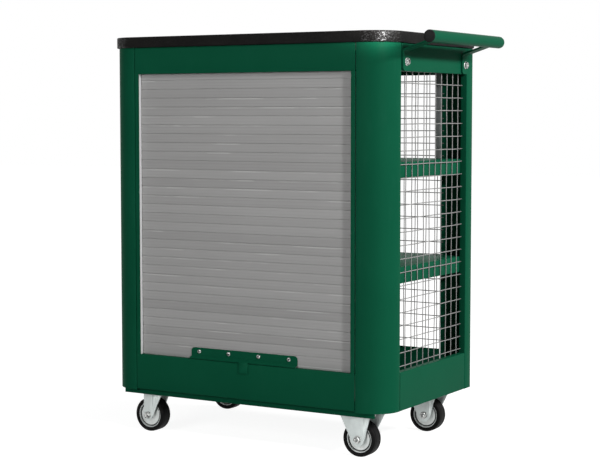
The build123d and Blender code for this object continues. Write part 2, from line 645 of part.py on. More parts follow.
def caster_bolt(x, y):
    """Bolt through a caster plate and the crossmember, nut on top."""
    web = CASTER_HEIGHT + CROSSMEMBER_SHEET
    head = PLATE_BOTTOM - BOLT_HEAD_HEIGHT
    bolt = hexagon_bar(Plane(origin=(x, y, head)), BOLT_HEAD, BOLT_HEAD_HEIGHT)
    bolt += round_bar(Plane(origin=(x, y, PLATE_BOTTOM)), BOLT_SHANK,
                      web + NUT_HEIGHT + THREAD_END - PLATE_BOTTOM)
    nut = hexagon_bar(Plane(origin=(x, y, web)), NUT_FLATS, NUT_HEIGHT)
    nut -= round_bar(Plane(origin=(x, y, web)), BOLT_SHANK, NUT_HEIGHT)
    return [bolt, nut]


def caster_bolt_places():
    return [(centre_x + spot.position.X, way * CASTER_Y + spot.position.Y)
            for centre_x in (SWIVEL_CASTER_X, RIGID_CASTER_X)
            for way in (-1, 1)
            for spot in GridLocations(PLATE_BOLT_X, PLATE_BOLT_Y, 2, 2)]


# ---------------------------------------------------------------- assembly
def drill(part, bars):
    for bar in bars:
        part -= bar
    return part


def build():
    """Every node by name, as one solid or a list of solids."""
    nodes = {}
    nodes["worktop"] = worktop()
    for name, part in (("front_post", front_post()), ("rear_post", rear_post()),
                       ("side_kick", side_kick()), ("shutter_jamb", jamb()),
                       ("shutter_track", track())):
        nodes[name + "_right"] = part
        nodes[name + "_left"] = left(part)
    plain_header = side_header()
    holes = [round_bar(along_x(SIDE - SHEET, y, HEADER_BOTTOM + BRACKET_BOLT_RISE), BOLT_SHANK, SHEET)
             for y in (FRONT_BRACKET_Y, REAR_BRACKET_Y)]
    nodes["side_header_right"] = drill(plain_header, holes)
    nodes["side_header_left"] = left(plain_header)
    nodes["front_header"] = front_header()
    nodes["rear_header"] = rear_header()
    nodes["front_kick"] = front_kick()
    nodes["rear_kick"] = rear_kick()
    nodes["cabinet_floor"] = floor_plate()
    nodes["lower_shelf"] = shelf(SILL + LOWER_SHELF_RISE)
    nodes["upper_shelf"] = shelf(SILL + UPPER_SHELF_RISE)
    shanks = [round_bar(Plane(origin=(x, y, CASTER_HEIGHT)), BOLT_SHANK, CROSSMEMBER_SHEET)
              for x, y in caster_bolt_places()]
    nodes["front_crossmember"] = drill(crossmember(), [bar for bar in shanks if bar.center().Y < 0])
    nodes["rear_crossmember"] = drill(mirror(crossmember(), about=Plane.XZ),
                                      [bar for bar in shanks if bar.center().Y > 0])
    mesh = side_mesh()
    nodes["side_mesh_right"] = mesh
    nodes["side_mesh_left"] = [left(bar) for bar in mesh]
    nodes["rear_mesh"] = rear_mesh()

    nodes["shutter_slats"] = slats()
    nodes["shutter_bottom_rail"] = bottom_rail()
    nodes["shutter_pull"] = pull()
    nodes["shutter_pull_screws"] = [pull_screw(x, z) for x, z in screw_places()]

    nodes["push_handle"] = handle_tube()
    nodes["push_handle_cap"] = handle_cap()
    nodes["handle_bracket_front"] = handle_bracket(FRONT_BRACKET_Y)
    nodes["handle_bracket_rear"] = handle_bracket(REAR_BRACKET_Y)
    nodes["handle_bolts"] = handle_bolt(FRONT_BRACKET_Y) + handle_bolt(REAR_BRACKET_Y)

    for name, way in (("front", -1), ("rear", 1)):
        rigid = Pos(RIGID_CASTER_X, way * CASTER_Y, 0)
        swivel = Pos(SWIVEL_CASTER_X, way * CASTER_Y, 0)
        trailing = swivel * Pos(-SWIVEL_OFFSET, 0, 0)
        nodes["rigid_fork_" + name] = rigid * rigid_fork()
        nodes["rigid_axle_" + name] = [rigid * piece for piece in axle()]
        nodes["rigid_wheel_" + name] = rigid * Pos(0, 0, AXLE_Z) * wheel_centre()
        nodes["rigid_tyre_" + name] = rigid * Pos(0, 0, AXLE_Z) * tyre()
        nodes["swivel_plate_" + name] = swivel * swivel_plate()
        nodes["swivel_kingpin_" + name] = swivel * kingpin()
        nodes["swivel_fork_" + name] = swivel * swivel_fork()
        nodes["swivel_axle_" + name] = [trailing * piece for piece in axle()]
        nodes["swivel_wheel_" + name] = trailing * Pos(0, 0, AXLE_Z) * wheel_centre()
        nodes["swivel_tyre_" + name] = trailing * Pos(0, 0, AXLE_Z) * tyre()
    bolts = [caster_bolt(x, y) for x, y in caster_bolt_places()]
    nodes["caster_bolts"] = [piece for pair in bolts for piece in pair]
    return nodes


def write(nodes):
    os.makedirs("parts", exist_ok=True)
    to_origin = Pos(CABINET_X, 0, 0)
    for name, part in nodes.items():
        pieces = part if isinstance(part, list) else [part]
        solids = [to_origin * solid for piece in pieces for solid in piece.solids()]
        shape = solids[0] if len(solids) == 1 else Compound(children=solids)
        export_step(shape, f"parts/{name}.step")


write(build())
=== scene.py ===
"""Roll front tool cabinet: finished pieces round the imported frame.  Lengths are in metres."""
import json
import math

import bmesh
import bpy
from mathutils import Matrix, Vector, geometry, noise


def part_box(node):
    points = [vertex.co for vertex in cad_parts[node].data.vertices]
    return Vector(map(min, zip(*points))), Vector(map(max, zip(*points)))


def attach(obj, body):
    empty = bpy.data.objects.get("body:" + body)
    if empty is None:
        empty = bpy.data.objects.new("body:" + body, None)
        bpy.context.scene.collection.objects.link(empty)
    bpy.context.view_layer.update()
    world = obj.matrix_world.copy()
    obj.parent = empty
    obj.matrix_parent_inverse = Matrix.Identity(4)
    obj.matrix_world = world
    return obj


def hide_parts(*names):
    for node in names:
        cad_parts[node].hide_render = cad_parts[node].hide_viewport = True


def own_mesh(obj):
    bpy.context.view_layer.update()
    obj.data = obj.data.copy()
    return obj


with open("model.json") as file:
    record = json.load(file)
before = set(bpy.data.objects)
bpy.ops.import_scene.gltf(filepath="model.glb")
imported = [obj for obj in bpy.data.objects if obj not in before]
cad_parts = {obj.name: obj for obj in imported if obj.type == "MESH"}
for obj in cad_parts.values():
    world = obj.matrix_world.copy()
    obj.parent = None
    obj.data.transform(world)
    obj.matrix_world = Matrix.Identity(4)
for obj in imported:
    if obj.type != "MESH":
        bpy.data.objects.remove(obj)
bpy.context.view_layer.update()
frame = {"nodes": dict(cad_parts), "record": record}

nodes = frame["nodes"]
MM = 0.001
MIDDLE = -40.6 * MM                 # cabinet's middle across
SLATS_LOW = 204 * MM                # lower edge of the lowest slat
SLAT_PITCH = 19.1 * MM
MERGE = 0.001 * MM                  # points nearer than this become one
TO_THE_BACK = (0, 1, 0)


# ---------------------------------------------------------------- camera
def camera():
    """A long lens in front, to the right, a little below the worktop's height."""
    data = bpy.data.cameras.new("camera")
    data.sensor_width, data.lens = 36, 95.08            # both in millimetres
    data.clip_end = 50
    eye = bpy.data.objects.new("camera", data)
    bpy.context.scene.collection.objects.link(eye)
    place = (1.7598, -3.0004, 0.7029)
    yaw, pitch = math.radians(30.63), math.radians(4.30)
    eye.matrix_world = (Matrix.Translation(place)
                        @ Matrix.Rotation(yaw, 4, "Z")
                        @ Matrix.Rotation(math.pi / 2 - pitch, 4, "X"))
    bpy.context.scene.camera = eye


camera()


# ---------------------------------------------------------------- finishes
class Value:
    """A shader socket.  Arithmetic on it adds the nodes that work the sum out."""

    def __init__(self, finish, out):
        self.finish, self.out = finish, out

    def work(self, operation, *values):
        """The Math node's operation on the values."""
        return self.finish.node("ShaderNodeMath", {"operation": operation},
                                dict(enumerate(values)))

    def __add__(self, other):
        return self.work("ADD", self, other)

    def __sub__(self, other):
        return self.work("SUBTRACT", self, other)

    def __rsub__(self, other):
        return self.work("SUBTRACT", other, self)

    def __mul__(self, other):
        return self.work("MULTIPLY", self, other)

    def __truediv__(self, other):
        return self.work("DIVIDE", self, other)

    __radd__ = __add__

    def part(self, name):
        """One of a vector's three numbers."""
        return self.finish.node("ShaderNodeSeparateXYZ", {}, {0: self}, name)

    def over(self, low, high):
        """0 below low, 1 above high."""
        return self.finish.node("ShaderNodeMapRange", {"clamp": True},
                                {0: self, 1: low, 2: high, 3: 0.0, 4: 1.0})

    def band(self, low, full, fade, high):
        """0 below low, 1 from full to fade, 0 above high."""
        return self.over(low, full) * (1 - self.over(fade, high))


class Finish:
    """A material, or the world, that is being mixed."""

    def __init__(self, name, owner=None):
        self.material = owner or bpy.data.materials.new(name)
        self.material.use_nodes = True
        self.tree = self.material.node_tree
        self.tree.nodes.clear()
        self.place = self.node("ShaderNodeTexCoord", {}, {}, "Object")

    def node(self, kind, settings, values, output=0):
        """Adds a node with its settings and its sockets' numbers or links; gives one output."""
        made = self.tree.nodes.new(kind)
        for key, value in settings.items():
            setattr(made, key, value)
        for key, value in values.items():
            if isinstance(value, Value):
                self.tree.links.new(value.out, made.inputs[key])
            else:
                made.inputs[key].default_value = value
        return Value(self, made.outputs[output]) if made.outputs else None

    def noise(self, scale, detail, stretch=(1, 1, 1), roughness=0.5):
        """Noise from 0 to 1; scale is in features per metre."""
        place = self.place
        if stretch != (1, 1, 1):
            place = self.node("ShaderNodeMapping", {}, {"Vector": place, "Scale": stretch})
        return self.node("ShaderNodeTexNoise", {}, {"Vector": place, "Scale": scale,
                                                    "Detail": detail, "Roughness": roughness})

    def blend(self, mask, low, high):
        """The colour low where mask is 0 and high where it is 1."""
        colours = [c if isinstance(c, Value) else (*c, 1.0) for c in (low, high)]
        return self.node("ShaderNodeMix", {"data_type": "RGBA"},
                         {0: mask, 6: colours[0], 7: colours[1]}, 2)

    def painted_shade(self):
        """How much painted shade the mesh marks at the spot, from 0 to 1."""
        return self.node("ShaderNodeAttribute", {"attribute_name": "painted_shade"}, {}, "Fac")

    def bump(self, height, depth, strength):
        """Surface directions for a relief that is depth metres deep."""
        return self.node("ShaderNodeBump", {},
                         {"Height": height, "Distance": depth, "Strength": strength})

    def done(self, colour, roughness, **more):
        """Ends the material with its shader."""
        names = {"metallic": "Metallic", "normal": "Normal", "coat": "Coat Weight",
                 "coat_roughness": "Coat Roughness", "specular": "Specular IOR Level"}
        values = {"Base Color": colour if isinstance(colour, Value) else (*colour, 1.0),
                  "Roughness": roughness}
        values.update({names[key]: value for key, value in more.items()})
        shader = self.node("ShaderNodeBsdfPrincipled", {}, values)
        self.node("ShaderNodeOutputMaterial", {}, {"Surface": shader})
        return self.material


def green_enamel():
    """Deep green enamel with a fine orange peel and faint handling marks."""
    f = Finish("green_enamel")
    cloud = f.noise(5, 3)
    marks = f.noise(45, 4, (1, 1, 0.25)).over(0.58, 0.8)
    colour = f.blend(cloud.over(0.3, 0.7), (0.0040, 0.077, 0.038), (0.0050, 0.087, 0.043))
    colour = f.blend(marks * 0.10, colour, (0.02, 0.12, 0.075))
    peel = f.noise(420, 2)
    return f.done(colour, 0.36 + marks * 0.08 + cloud * 0.05, specular=0.009,
                  normal=f.bump(peel, 0.00004, 0.5))


def black_worktop():
    """Dull black moulded top with a pebbled grain, its specks shinier on the front corners."""
    f = Finish("black_worktop")
    pebbles = f.node("ShaderNodeTexVoronoi", {"feature": "F1"},
                     {"Vector": f.place, "Scale": 420.0})
    fine = f.noise(900, 2)
    tone = f.noise(30, 3)
    across = f.place.part("X") - MIDDLE
    at_ends = across.work("ABSOLUTE", across).over(285 * MM, 300 * MM)
    in_front = (0 - f.place.part("Y")).over(145 * MM, 160 * MM)
    below_top = 1 - f.place.part("Z").over(869 * MM, 870.5 * MM)
    corners = at_ends * in_front * below_top
    specks = f.noise(430, 1).over(0.56, 0.63) * (corners * 0.93 + 0.07)
    colour = f.blend(tone.over(0.35, 0.7),
                     (0.0035, 0.0032, 0.0030), (0.0070, 0.0064, 0.0060))
    return f.done(colour, 0.45 + tone * 0.1, specular=0.05, coat=specks, coat_roughness=0.42,
                  normal=f.bump(pebbles + fine * 0.4, 0.0003, 1.0))


def slat_plastic():
    """Grey slats, each a shade of its own, with drawn lines and broken painted glints along it."""
    f = Finish("slat_plastic")
    place = (f.place.part("Z") - SLATS_LOW) / SLAT_PITCH
    slat = place.work("FLOOR", place)
    rise = place - slat
    own = f.node("ShaderNodeTexWhiteNoise", {"noise_dimensions": "1D"}, {"W": slat})
    streaks = f.noise(40, 5, (0.05, 1, 9), 0.7)
    drawn = f.noise(60, 4, (0.02, 1, 14), 0.6)
    smudges = f.noise(9, 3, (0.5, 1, 1))
    tone = own * 0.25 + streaks * 0.35 + drawn * 0.2 + smudges * 0.2
    colour = f.blend(tone.over(0.3, 0.75), (0.335, 0.331, 0.328), (0.425, 0.421, 0.418))
    score = rise.band(0.30, 0.33, 0.35, 0.38) + rise.band(0.66, 0.69, 0.71, 0.74)
    colour = f.blend(score * drawn * 0.35, colour, (0.22, 0.218, 0.216))
    # Painted highlight: lighter broken lines near each slat's upper edge, standing in for glints.
    patches = f.noise(14, 3, (0.5, 1, 6)).over(0.56, 0.62)
    painted_glint = rise.band(0.82, 0.86, 0.90, 0.94) * patches
    colour = f.blend(painted_glint * 0.6, colour, (0.62, 0.62, 0.61))
    return f.done(colour, 0.42 + streaks * 0.15, specular=0.2,
                  normal=f.bump(streaks + score * 0.5, 0.00008, 0.4))


def zinc_wire():
    """Greyed zinc of the welded mesh."""
    f = Finish("zinc_wire")
    tone = f.noise(120, 3)
    colour = f.blend(tone, (0.18, 0.178, 0.175), (0.33, 0.327, 0.321))
    return f.done(colour, 0.38 + tone * 0.15, metallic=0.45,
                  normal=f.bump(tone, 0.0001, 0.3))


def zinc_plate():
    """Bright zinc plating with faint clouds."""
    f = Finish("zinc_plate")
    clouds = f.noise(60, 3)
    grain = f.noise(700, 2)
    colour = f.blend(clouds.over(0.3, 0.75), (0.54, 0.585, 0.575), (0.68, 0.73, 0.715))
    return f.done(colour, 0.30 + clouds * 0.18, metallic=0.5,
                  normal=f.bump(grain, 0.00005, 0.4))


def bolt_zinc():
    """Duller zinc of bolts and screws, with painted shade in the screws' recesses."""
    f = Finish("bolt_zinc")
    clouds = f.noise(260, 3)
    colour = f.blend(clouds.over(0.40, 0.58), (0.11, 0.115, 0.115), (0.58, 0.585, 0.57))
    # Painted shade: near-black colour in the screws' cross recesses, where the mesh marks it.
    painted_shade = f.painted_shade()
    colour = f.blend(painted_shade, colour, (0.010, 0.010, 0.010))
    return f.done(colour, 0.30 + clouds * 0.18 + painted_shade * 0.3, metallic=0.85 - painted_shade * 0.85,
                  normal=f.bump(clouds, 0.0002, 0.5))


def tyre_rubber():
    """Black rubber with a little dust."""
    f = Finish("tyre_rubber")
    dust = f.noise(80, 4)
    colour = f.blend(dust.over(0.4, 0.8), (0.005, 0.005, 0.005), (0.014, 0.0133, 0.0133))
    return f.done(colour, 0.42 + dust * 0.2, specular=0.05,
                  normal=f.bump(f.noise(600, 2), 0.0001, 0.4))


def black_plastic():
    """Dull black of the handle's end cap."""
    f = Finish("black_plastic")
    grain = f.noise(500, 2)
    colour = f.blend(grain, (0.006, 0.006, 0.006), (0.012, 0.012, 0.012))
    return f.done(colour, 0.45 + grain * 0.1, specular=0.08,
                  normal=f.bump(grain, 0.0001, 0.5))


def wheel_disc():
    """Zinc disc, a little ruddy, with painted shade in its ring groove."""
    f = Finish("wheel_disc")
    clouds = f.noise(70, 3)
    rust = f.noise(160, 3).over(0.45, 0.75)
    colour = f.blend(clouds.over(0.3, 0.75), (0.58, 0.61, 0.60), (0.74, 0.77, 0.76))
    colour = f.blend(rust * 0.15, colour, (0.42, 0.30, 0.27))
    # Painted shade: near-black colour in the ring groove, where the mesh marks it.
    painted_shade = f.painted_shade()
    colour = f.blend(painted_shade, colour, (0.012, 0.014, 0.014))
    return f.done(colour, 0.34 + clouds * 0.15 + painted_shade * 0.4, metallic=0.45 - painted_shade * 0.45,
                  normal=f.bump(clouds, 0.0001, 0.3))


def track_grey():
    """Dull grey channel, painted lighter along its front run as a painted highlight."""
    f = Finish("track_grey")
    streaks = f.noise(30, 3, (1, 1, 0.1))
    colour = f.blend(streaks, (0.28, 0.29, 0.29), (0.38, 0.39, 0.39))
    # Painted highlight: the front run is coloured near-white, the rest keeps the grey of the shaded
    # part.
    painted_highlight = (0 - f.place.part("Y")).over(183 * MM, 188 * MM)
    colour = f.blend(painted_highlight, colour, (0.80, 0.81, 0.81))
    return f.done(colour, 0.42 + streaks * 0.1, metallic=0.3 - painted_highlight * 0.3)


GREEN, WORKTOP, SLATS = green_enamel(), black_worktop(), slat_plastic()
WIRE, ZINC, RUBBER = zinc_wire(), zinc_plate(), tyre_rubber()
CAP, TRACK, DISC, BOLT = black_plastic(), track_grey(), wheel_disc(), bolt_zinc()
SLOT_FINISH = {"frame_paint": GREEN, "worktop": WORKTOP, "slats": SLATS, "mesh_wire": WIRE,
               "zinc": ZINC, "tyre": RUBBER, "cap": CAP, "track": TRACK}
slot_of = {part["node"]: part["material_slot"] for part in frame["record"]["subparts"]}


def paint(thing, finish):
    thing.data.materials.clear()
    thing.data.materials.append(finish)


for name, node in nodes.items():
    paint(node, SLOT_FINISH[slot_of[name]])


# ---------------------------------------------------------------- making meshes
def soften(points, radius, steps=4):
    """A closed 2-D outline whose corners are rounded over."""
    smooth = []
    for i, corner in enumerate(points):
        around = (corner, points[i - 1], points[(i + 1) % len(points)])
        here, before, after = (Vector(p) for p in around)
        back, on = before - here, after - here
        start = here + back * min(0.49, radius / back.length)
        end = here + on * min(0.49, radius / on.length)
        for step in range(steps + 1):
            s = step / steps
            smooth.append(tuple(start * (1 - s) ** 2 + here * 2 * s * (1 - s) + end * s ** 2))
    return smooth


def lathe(bm, profile, centre=(0, 0, 0), axis=(0, 0, 1), steps=48):
    """Adds the (radius, height) profile turned round an axis through centre."""
    turn = Vector((0, 0, 1)).rotation_difference(Vector(axis)).to_matrix().to_4x4()
    place = Matrix.Translation(centre) @ turn
    rings = []
    for radius, height in profile:
        angles = [2 * math.pi * i / steps for i in range(steps if radius > 0 else 1)]
        spots = [Vector((radius * math.cos(a), radius * math.sin(a), height)) for a in angles]
        rings.append([bm.verts.new(place @ spot) for spot in spots])
    pairs = list(zip(rings, rings[1:]))
    if profile[0][0] > 0 and profile[-1][0] > 0:
        pairs.append((rings[-1], rings[0]))
    for low, high in pairs:
        for i in range(steps):
            j = i + 1
            around = [low[i % len(low)], low[j % len(low)],
                      high[j % len(high)], high[i % len(high)]]
            corners = list(dict.fromkeys(around))
            if len(corners) > 2:
                bm.faces.new(corners)
    return bm


def bar(bm, outline, place, length):
    """Adds a 2-D outline, laid in the plane of place, drawn out to length."""
    ends = [[bm.verts.new(place @ Vector((u, v, w))) for u, v in outline] for w in (0, length)]
    bm.faces.new(ends[0])
    bm.faces.new(ends[1])
    for i in range(len(outline)):
        j = (i + 1) % len(outline)
        bm.faces.new((ends[0][i], ends[0][j], ends[1][j], ends[1][i]))
    return bm


def ease(bm, width, least, steps=1, wide=None):
    """Bevels the outer corners of least degrees or more; with wide, only between larger faces."""
    corners = [e for e in bm.edges if e.is_manifold and e.is_convex
               and e.calc_face_angle(0) > math.radians(least)
               and (wide is None or min(f.calc_area() for f in e.link_faces) > wide)]
    if corners:
        bmesh.ops.bevel(bm, geom=corners, offset=width, offset_type="OFFSET", segments=steps,
                        profile=0.5, affect="EDGES", clamp_overlap=True)
    return bm


def temporary(bm):
    """An object that holds the mesh for a modifier."""
    mesh = bpy.data.meshes.new("temporary")
    bmesh.ops.recalc_face_normals(bm, faces=bm.faces)
    bm.to_mesh(mesh)
    bm.free()
    thing = bpy.data.objects.new("temporary", mesh)
    bpy.context.scene.collection.objects.link(thing)
    return thing


def applied(thing):
    """The mesh that the object's modifiers give, as a bmesh.  The object goes."""
    bpy.context.view_layer.update()
    graph = bpy.context.evaluated_depsgraph_get()
    mesh = bpy.data.meshes.new_from_object(thing.evaluated_get(graph))
    bm = bmesh.new()
    bm.from_mesh(mesh)
    bpy.data.objects.remove(thing)
    bpy.data.meshes.remove(mesh)
    return bm


def cut(bm, tool):
    """The mesh with the tool's shape taken out."""
    body, blade = temporary(bm), temporary(tool)
    knife = body.modifiers.new("cut", "BOOLEAN")
    knife.operation, knife.solver, knife.object = "DIFFERENCE", "EXACT", blade
    result = applied(body)
    bpy.data.objects.remove(blade)
    return result


def row_tree():
    """Copies of a unit along a line: Count of them, a Step apart, in one Finish."""
    tree = bpy.data.node_groups.new("row", "GeometryNodeTree")
    for name, kind in (("Unit", "Geometry"), ("Count", "Int"),
                       ("Step", "Vector"), ("Finish", "Material")):
        tree.interface.new_socket(name=name, in_out="INPUT", socket_type="NodeSocket" + kind)
    tree.interface.new_socket(name="Row", in_out="OUTPUT", socket_type="NodeSocketGeometry")
    given = tree.nodes.new("NodeGroupInput")
    line = tree.nodes.new("GeometryNodeMeshLine")
    copies = tree.nodes.new("GeometryNodeInstanceOnPoints")
    solid = tree.nodes.new("GeometryNodeRealizeInstances")
    coat = tree.nodes.new("GeometryNodeSetMaterial")
    out = tree.nodes.new("NodeGroupOutput")
    for source, target in ((given.outputs["Count"], line.inputs["Count"]),
                           (given.outputs["Step"], line.inputs["Offset"]),
                           (line.outputs["Mesh"], copies.inputs["Points"]),
                           (given.outputs["Unit"], copies.inputs["Instance"]),
                           (copies.outputs["Instances"], solid.inputs["Geometry"]),
                           (solid.outputs["Geometry"], coat.inputs["Geometry"]),
                           (given.outputs["Finish"], coat.inputs["Material"]),
                           (coat.outputs["Geometry"], out.inputs["Row"])):
        tree.links.new(source, target)
    return tree


ROW = row_tree()


def row(bm, count, step, finish):
    """The unit repeated along a line."""
    thing = temporary(bm)
    maker = thing.modifiers.new("row", "NODES")
    maker.node_group = ROW
    wanted = {"Count": count, "Step": step, "Finish": finish}
    for socket in ROW.interface.items_tree:
        if socket.name in wanted:
            maker[socket.identifier] = wanted[socket.name]
    return applied(thing)


def joined(first, *others):
    """The first mesh with the others added to it."""
    for other in others:
        mesh = bpy.data.meshes.new("temporary")
        other.to_mesh(mesh)
        other.free()
        first.from_mesh(mesh)
        bpy.data.meshes.remove(mesh)
    return first


def piece(name, bm, finish, body, *stands_for, sharp=35):
    """A finished piece: smooth but for its sharp corners, riding on its body."""
    bmesh.ops.recalc_face_normals(bm, faces=bm.faces)
    for face in bm.faces:
        face.smooth = True
    for edge in bm.edges:
        edge.smooth = not (edge.is_manifold and edge.calc_face_angle(0) > math.radians(sharp))
    mesh = bpy.data.meshes.new(name)
    bm.to_mesh(mesh)
    bm.free()
    thing = bpy.data.objects.new(name, mesh)
    bpy.context.scene.collection.objects.link(thing)
    paint(thing, finish)
    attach(thing, body)
    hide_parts(*stands_for)
    return thing


def paint_shade(thing, x, z, least, most, count=1, step=1.0):
    """Marks painted shade between two radii from an axis at (x, z), or from a row of such axes."""
    painted_shade = thing.data.attributes.new("painted_shade", "FLOAT", "POINT")
    for vertex, value in zip(thing.data.vertices, painted_shade.data):
        near = min(max(round((vertex.co.x - x) / step), 0), count - 1)
        radius = math.hypot(vertex.co.x - x - near * step, vertex.co.z - z)
        value.value = 1.0 if least < radius < most else 0.0
    return thing


# ---------------------------------------------------------------- sheet metal
def merged(bm, flat):
    """Joins loose triangles into one surface, and those within flat degrees into one face."""
    bmesh.ops.remove_doubles(bm, verts=bm.verts, dist=MERGE)
    bmesh.ops.dissolve_limit(bm, angle_limit=math.radians(flat), verts=bm.verts, edges=bm.edges)


def sheet_piece(node, body="cabinet", fold=1.3 * MM, edge=0.35 * MM):
    """A folded sheet piece with round bends and eased cut edges."""
    bm = bmesh.new()
    bm.from_mesh(nodes[node].data)
    merged(bm, 1.5)
    corner, steps, panel = 60, 3, 1200 * MM * MM        # a fold lies between two panels
    ease(bm, fold, corner, steps, panel)
    ease(bm, edge, corner)
    return piece(node + "_sheet", bm, SLOT_FINISH[slot_of[node]], body, node)


for side in ("left", "right"):
    for part in ("front_post_", "rear_post_", "side_header_", "side_kick_",
                 "shutter_jamb_", "shutter_track_"):
        sheet_piece(part + side)
for part in ("front_header", "rear_header", "front_kick", "rear_kick", "cabinet_floor",
             "lower_shelf", "upper_shelf", "front_crossmember", "rear_crossmember"):
    sheet_piece(part)
for end in ("front", "rear"):
    sheet_piece("handle_bracket_" + end, fold=1.0 * MM, edge=0.8 * MM)
sheet_piece("shutter_bottom_rail", "shutter", fold=0.7 * MM)
sheet_piece("shutter_pull", "shutter", fold=0.9 * MM)


# ---------------------------------------------------------------- welded mesh
SIDE, DEPTH = 344 * MM, 408 * MM    # half width and depth of the cabinet
SILL, LINTEL = 178 * MM, 791 * MM   # lower and upper ends of the openings
SHEET = 1.5 * MM                    # thickness of the side header
WIRE_PITCH, WIRE_RADIUS, WIRE_SIDES = 27.6 * MM, 1.0 * MM, 8
WAVER, WAVER_REACH = 0.9 * MM, 70 * MM
noise.seed_set(1)                   # the same wires in each run; 0 would take the clock


def wire(bm, start, end, parts):
    """Adds one wire as a fine tube with cut ends."""
    start, end = Vector(start), Vector(end)
    length = (end - start).length
    wall = [(WIRE_RADIUS, length * i / parts) for i in range(parts + 1)]
    return lathe(bm, [(0, 0)] + wall + [(0, length)], start, end - start, WIRE_SIDES)


def waver(bm):
    """Moves the mesh a little to and fro, as welded wire is never quite straight."""
    for vertex in bm.verts:
        vertex.co += noise.noise_vector(vertex.co / WAVER_REACH) * WAVER
    return bm


def side_mesh(name, way):
    """Upright wires inside, level wires welded on outside."""
    inner = MIDDLE + way * (SIDE - 12.5 * MM)
    outer = inner + way * 2 * WIRE_RADIUS
    front, back = -140.5 * MM, 174 * MM
    lowest = SILL + 9.5 * MM
    uprights, levels = 11, 22
    first = (front + back) / 2 - (uprights - 1) / 2 * WIRE_PITCH
    upright = wire(bmesh.new(), (inner, first, SILL), (inner, first, LINTEL), 30)
    level = wire(bmesh.new(), (outer, front, lowest), (outer, back, lowest), 16)
    standing = row(upright, uprights, (0, WIRE_PITCH, 0), WIRE)
    lying = row(level, levels, (0, 0, WIRE_PITCH), WIRE)
    return piece(name + "_wires", waver(joined(standing, lying)), WIRE, "cabinet", name)


def rear_mesh(name):
    """Level wires against the rear posts from inside, upright wires welded on inside them."""
    outer = DEPTH / 2 - 2.5 * MM
    inner = outer - 2 * WIRE_RADIUS
    half = 276 * MM
    lowest = SILL + 20 * MM
    uprights, levels = 20, 22
    first = MIDDLE - (uprights - 1) / 2 * WIRE_PITCH
    upright = wire(bmesh.new(), (first, inner, SILL), (first, inner, LINTEL), 30)
    level = wire(bmesh.new(), (MIDDLE - half, outer, lowest), (MIDDLE + half, outer, lowest), 26)
    standing = row(upright, uprights, (WIRE_PITCH, 0, 0), WIRE)
    lying = row(level, levels, (0, 0, WIRE_PITCH), WIRE)
    return piece(name + "_wires", waver(joined(standing, lying)), WIRE, "cabinet", name)


side_mesh("side_mesh_right", 1)
side_mesh("side_mesh_left", -1)
rear_mesh("rear_mesh")


# ---------------------------------------------------------------- roll front
# An outline of (back, up) points is drawn out to the right.
ALONG_X = Matrix(((0, 0, 1, 0), (1, 0, 0, 0), (0, 1, 0, 0), (0, 0, 0, 1)))


def slats():
    """Slats with a slightly crowned face and a groove at each joint."""
    low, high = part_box("shutter_slats")
    front, count = low.y, 31
    section = [(1.3, 0), (0.4, 0.14), (0.1, 0.4), (0, 0.9), (-0.12, 3.5), (-0.2, 7), (-0.2, 12),
               (-0.12, 15.6), (0, 18.1), (0.1, 18.55), (0.45, 18.85), (1.3, 18.9), (1.3, 19.1),
               (4.7, 19.1), (5, 18.8), (5, 0.3), (4.7, 0)]
    outline = [(front + y * MM, low.z + z * MM) for y, z in section]
    place = Matrix.Translation((low.x, 0, 0)) @ ALONG_X
    unit = bar(bmesh.new(), outline, place, high.x - low.x)
    bm = row(unit, count, (0, 0, SLAT_PITCH), SLATS)
    thing = piece("roll_front_slats", bm, SLATS, "cabinet", "shutter_slats", sharp=50)
    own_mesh(thing)


slats()


def pull_screws():
    """Pan-head screws with a cross recess."""
    low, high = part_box("shutter_pull_screws")
    radius, rise, sunk = (high.z - low.z) / 2, 2.2 * MM, 0.4 * MM
    count, pitch = 4, 75 * MM
    angles = [math.radians(d) for d in range(0, 90, 15)]
    arc = [(radius * math.cos(a), rise * math.sin(a)) for a in angles]
    head = lathe(bmesh.new(), [(0, -sunk), (radius, -sunk)] + arc + [(0, rise)], steps=32)
    cross = [(x * MM, y * MM) for x, y in
             ((-2.6, -0.6), (-1.2, -1.2), (-0.6, -2.6), (0.6, -2.6), (1.2, -1.2), (2.6, -0.6),
              (2.6, 0.6), (1.2, 1.2), (0.6, 2.6), (-0.6, 2.6), (-1.2, 1.2), (-2.6, 0.6))]
    recess = bar(bmesh.new(), cross, Matrix.Translation((0, 0, 0.2 * MM)), 3 * MM)
    head = cut(head, recess)
    facing = Matrix.Rotation(math.pi / 2, 4, "X") @ Matrix.Rotation(0.5, 4, "Z")
    first = Matrix.Translation((low.x + radius, low.y + rise, low.z + radius))
    bmesh.ops.transform(head, verts=head.verts, matrix=first @ facing)
    bm = row(head, count, (pitch, 0, 0), BOLT)
    heads = piece("pull_screw_heads", bm, BOLT, "shutter", "shutter_pull_screws", sharp=40)
    # Painted shade marked in the middle of each screw head, over its cross recess.
    return paint_shade(heads, low.x + radius, low.z + radius, -1, 2.0 * MM, count, pitch)


pull_screws()


